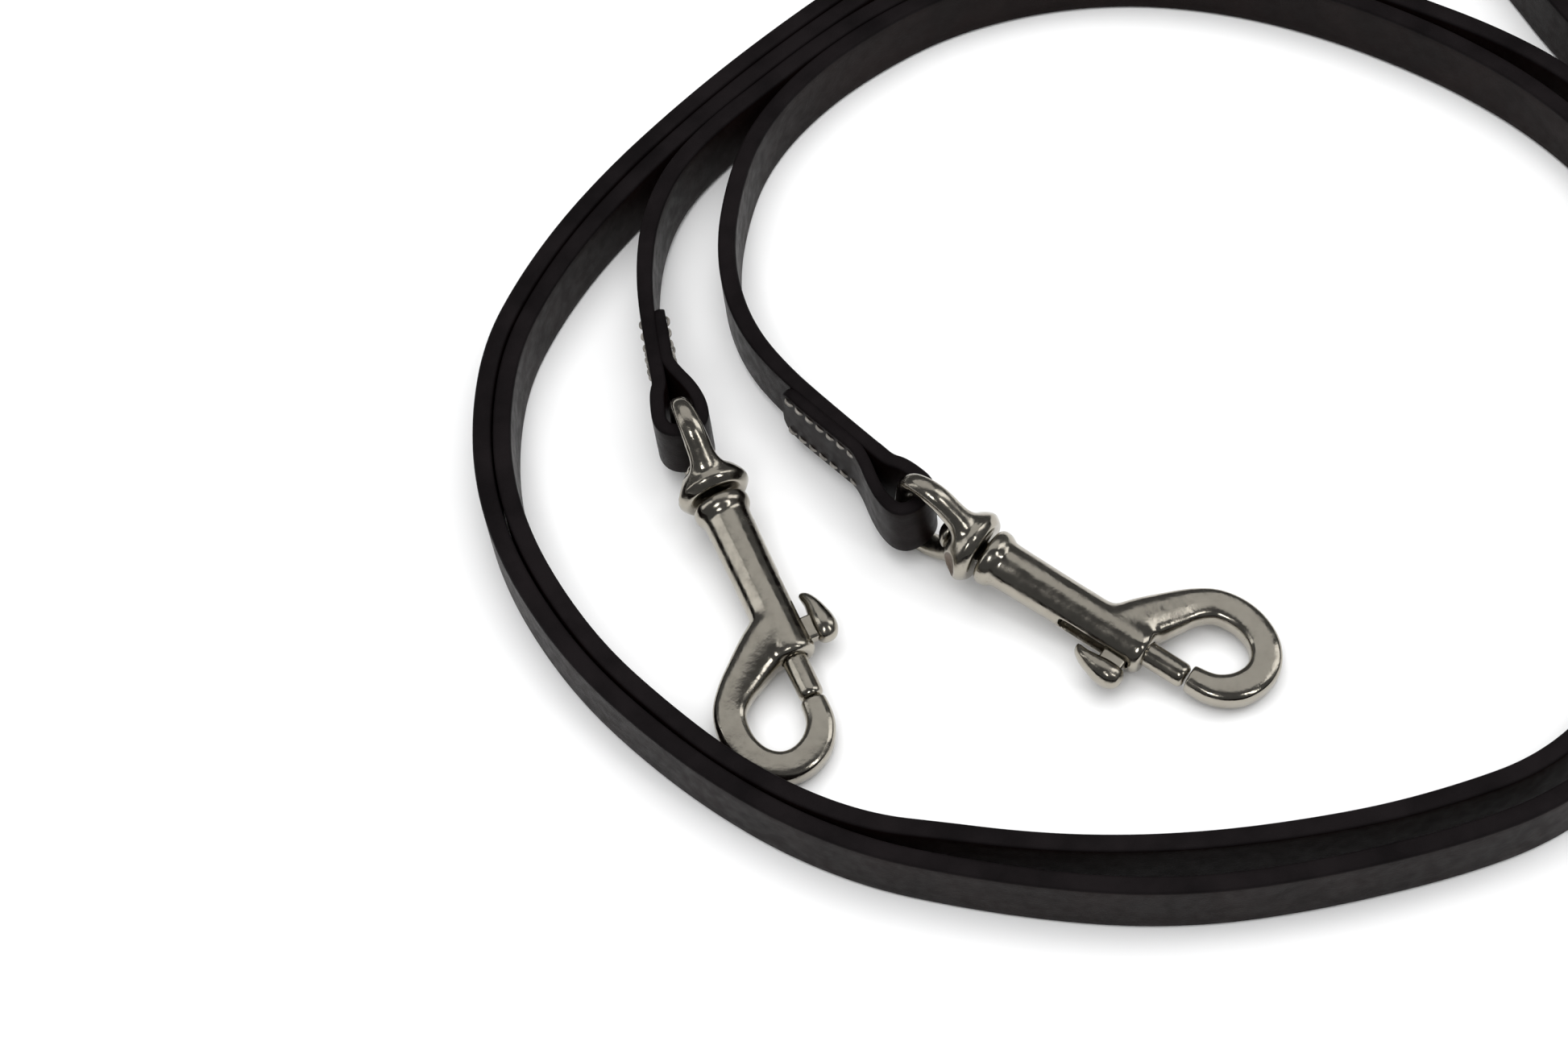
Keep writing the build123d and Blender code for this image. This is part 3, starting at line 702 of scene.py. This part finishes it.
CASTINGS = {
    # piece: (mesh, CAD node it stands for, body, slot)
    "eye_casting": (eye_casting(), "swivel_eye", "eye", "nickel_plate"),
    "snap_casting": (snap_casting(), "snap_body", "snap", "nickel_plate"),
    "rivet_post": (rivet_turning(), "swivel_rivet", "snap", "nickel_plate"),
    "plunger": (bolt_casting(), "bolt", "bolt", "nickel_plate"),
    "thumb_piece": (lug_casting(), "thumb_lug", "bolt", "nickel_plate"),
    "spring_coil": (spring_wire(), "bolt_spring", "snap", "spring_steel"),
}
metal_pieces = {}
for end, placing in SNAPS.items():
    for name, (mesh, node, body, slot) in CASTINGS.items():
        own = mesh.copy()
        own.transform(placing)
        piece = new_object(f"{name}_{end}", own)
        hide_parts(f"{node}_{end}")
        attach(piece, f"{body}_{end}")
        metal_pieces[f"{name}_{end}"] = piece
    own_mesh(metal_pieces[f"spring_coil_{end}"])


# ---------------------------------------------------------------- materials
class Nodes:
    """A material's node tree, with short ways to add and link nodes."""

    def __init__(self, name):
        self.material = bpy.data.materials.new(name)
        self.material.use_nodes = True
        self.tree = self.material.node_tree
        self.shader = self.tree.nodes["Principled BSDF"]

    def add(self, kind, **settings):
        node = self.tree.nodes.new(kind)
        for key, value in settings.items():
            if hasattr(node, key):
                setattr(node, key, value)
            else:
                node.inputs[key.replace("_", " ").title()].default_value = value
        return node

    def link(self, source, target):
        self.tree.links.new(source, target)

    def noise(self, scale, detail=4.0, roughness=0.55, stretch=None):
        place = self.add("ShaderNodeTexCoord").outputs["Object"]
        if stretch:
            mapping = self.add("ShaderNodeMapping")
            mapping.inputs["Scale"].default_value = stretch
            self.link(place, mapping.inputs["Vector"])
            place = mapping.outputs["Vector"]
        noise = self.add("ShaderNodeTexNoise", scale=scale, detail=detail, roughness=roughness)
        self.link(place, noise.inputs["Vector"])
        return noise.outputs["Fac"]

    def ramp(self, source, low, high, from_low=0.35, from_high=0.65):
        """A value or a colour from low to high as the source goes between its two limits."""
        colour = isinstance(low, tuple)
        mapped = self.add("ShaderNodeMapRange")
        mapped.inputs["From Min"].default_value = from_low
        mapped.inputs["From Max"].default_value = from_high
        self.link(source, mapped.inputs["Value"])
        if not colour:
            mapped.inputs["To Min"].default_value = low
            mapped.inputs["To Max"].default_value = high
            return mapped.outputs["Result"]
        mix = self.add("ShaderNodeMix", data_type="RGBA")
        self.link(mapped.outputs["Result"], mix.inputs[0])
        mix.inputs[6].default_value = (*low, 1)
        mix.inputs[7].default_value = (*high, 1)
        return mix.outputs[2]

    def mix(self, amount, low, high):
        """A colour between two others, each a socket or a plain colour."""
        mix = self.add("ShaderNodeMix", data_type="RGBA")
        self.link(amount, mix.inputs[0])
        for value, socket in ((low, mix.inputs[6]), (high, mix.inputs[7])):
            if isinstance(value, tuple):
                socket.default_value = (*value, 1)
            else:
                self.link(value, socket)
        return mix.outputs[2]

    def scaled(self, source, factor, added=None, clamp=False):
        """source * factor + added, where factor and added may be sockets."""
        kind = "MULTIPLY" if added is None else "MULTIPLY_ADD"
        node = self.add("ShaderNodeMath", operation=kind)
        node.use_clamp = clamp
        self.link(source, node.inputs[0])
        if isinstance(factor, float):
            node.inputs[1].default_value = factor
        else:
            self.link(factor, node.inputs[1])
        if added is not None:
            self.link(added, node.inputs[2])
        return node.outputs[0]

    def bump(self, heights, distance):
        bump = self.add("ShaderNodeBump")
        bump.inputs["Distance"].default_value = distance
        bump.inputs["Strength"].default_value = 1.0
        self.link(heights, bump.inputs["Height"])
        self.link(bump.outputs["Normal"], self.shader.inputs["Normal"])


# Both are lower than leather's own.  They match the photograph under these lights.
LEATHER_IOR, LEATHER_SPECULAR = 1.2, 0.28


def leather_material(name, deep, light, rough, grain):
    """Dyed and waxed leather: cloudy dye, fine pores and a slight wax bloom."""
    nodes = Nodes(name)
    cloud = nodes.noise(110, detail=3)
    nodes.link(nodes.ramp(cloud, deep, light), nodes.shader.inputs["Base Color"])
    dull = nodes.ramp(nodes.noise(420), rough - 0.05, rough + 0.07)
    nodes.link(dull, nodes.shader.inputs["Roughness"])
    nodes.shader.inputs["IOR"].default_value = LEATHER_IOR
    nodes.shader.inputs["Specular IOR Level"].default_value = LEATHER_SPECULAR
    nodes.bump(nodes.noise(3200, detail=6, roughness=0.65), grain)
    return nodes.material


leather_face = leather_material(
    "leather_face", (0.0044, 0.0019, 0.0018), (0.0080, 0.0038, 0.0035), 0.40, 0.00005
)
leather_edge = leather_material(
    "leather_edge", (0.0044, 0.0035, 0.0038), (0.0082, 0.0065, 0.0070), 0.5, 0.00006
)


def thread_material():
    """Waxed grey thread, its strands lying across each stitch."""
    nodes = Nodes("thread")
    nodes.link(nodes.ramp(nodes.noise(900), (0.16, 0.15, 0.135), (0.34, 0.32, 0.29)),
               nodes.shader.inputs["Base Color"])
    nodes.link(nodes.ramp(nodes.noise(2500), 0.5, 0.75), nodes.shader.inputs["Roughness"])
    nodes.bump(nodes.noise(5000, stretch=(1, 1, 3)), 0.00008)
    return nodes.material


TARNISH = (0.17, 0.135, 0.11)


def nickel_material(name, clean, rough, cast_grain):
    """Nickel plate on a casting: bright on its high places, brown and rough in the hollows."""
    nodes = Nodes(name)
    nodes.shader.inputs["Metallic"].default_value = 1.0
    hollow = nodes.add("ShaderNodeAttribute", attribute_name="hollow").outputs["Fac"]
    stain = nodes.ramp(nodes.noise(260, detail=5), 0.0, 1.0, 0.40, 0.72)
    recess = nodes.ramp(hollow, 0.0, 1.0, 0.62, 0.95)
    dirt = nodes.scaled(recess, 0.9, nodes.scaled(stain, 0.16), clamp=True)
    plate = nodes.ramp(nodes.noise(55), tuple(c * 0.92 for c in clean), clean)
    nodes.link(nodes.mix(dirt, plate, TARNISH), nodes.shader.inputs["Base Color"])
    fine = nodes.ramp(nodes.noise(500, detail=5), rough - 0.04, rough + 0.1)
    nodes.link(nodes.scaled(dirt, 0.3, fine), nodes.shader.inputs["Roughness"])
    ripple = nodes.scaled(nodes.noise(170, detail=2), 2.5, nodes.noise(900, detail=4))
    pits = nodes.scaled(nodes.scaled(dirt, 3.0), nodes.noise(2200, detail=3), ripple)
    nodes.bump(pits, cast_grain)
    return nodes.material


thread = thread_material()
nickel = nickel_material("nickel_plate", (0.38, 0.354, 0.302), 0.15, 0.00004)
spring_steel = nickel_material("spring_steel", (0.40, 0.40, 0.41), 0.28, 0.00002)

for piece in [*straps.values(), *loops]:
    piece.data.materials.append(leather_face)
    piece.data.materials.append(leather_edge)
for piece in threads:
    piece.data.materials.append(thread)
for name, piece in metal_pieces.items():
    piece.data.materials.clear()
    piece.data.materials.append(spring_steel if name.startswith("spring") else nickel)

# ---------------------------------------------------------------- floor and light
FLOOR_SIZE = 3.0
FLOOR_DROP = 0.0002  # so that it never shares a plane with the strap's lower edge
WORLD_STRENGTH = 0.11


def make_floor():
    """A pale, matt table top."""
    half = FLOOR_SIZE / 2
    mesh = bpy.data.meshes.new("floor")
    corners = [(-half, -half, 0), (half, -half, 0), (half, half, 0), (-half, half, 0)]
    mesh.from_pydata(corners, [], [(0, 1, 2, 3)])
    floor = new_object("floor", mesh)
    floor.location.z = -FLOOR_DROP
    nodes = Nodes("floor")
    pale = nodes.ramp(nodes.noise(40), (0.86, 0.86, 0.86), (0.88, 0.88, 0.88))
    nodes.link(pale, nodes.shader.inputs["Base Color"])
    nodes.shader.inputs["Roughness"].default_value = 0.9
    nodes.shader.inputs["Specular IOR Level"].default_value = 0.1
    mesh.materials.append(nodes.material)


def softbox(name, place, width, height, radiance, mirrored=True):
    """A soft light aimed at the middle of the coil.  The polished metal mirrors it, or not."""
    light = bpy.data.lights.new(name, "AREA")
    light.shape = "RECTANGLE"
    light.size, light.size_y = width, height
    light.energy = radiance * math.pi * width * height
    box = bpy.data.objects.new(name, light)
    box.location = place
    box.rotation_euler = (CAMERA_TARGET - Vector(place)).to_track_quat("-Z", "Y").to_euler()
    box.visible_glossy = mirrored
    scene.collection.objects.link(box)


make_floor()
softbox("room", (-0.1, 0.0, 1.6), 1.8, 1.8, 3.1, mirrored=False)
softbox("ceiling", (-0.1, 0.5, 1.15), 1.4, 0.9, 0.7)
softbox("left_strip", (-0.9, 0.05, 0.55), 0.25, 0.9, 1.3)
softbox("right_strip", (0.75, 0.1, 0.7), 0.4, 0.8, 2.1)
softbox("window", (-0.35, -0.75, 1.0), 0.22, 0.3, 9.0)
softbox("side_window", (0.55, -0.6, 0.85), 0.12, 0.5, 7.0)

world = bpy.data.worlds.new("studio")
world.use_nodes = True
background = world.node_tree.nodes["Background"]
background.inputs["Color"].default_value = (0.95, 0.97, 1.0, 1)
background.inputs["Strength"].default_value = WORLD_STRENGTH
scene.world = world
scene.view_settings.view_transform = "Standard"
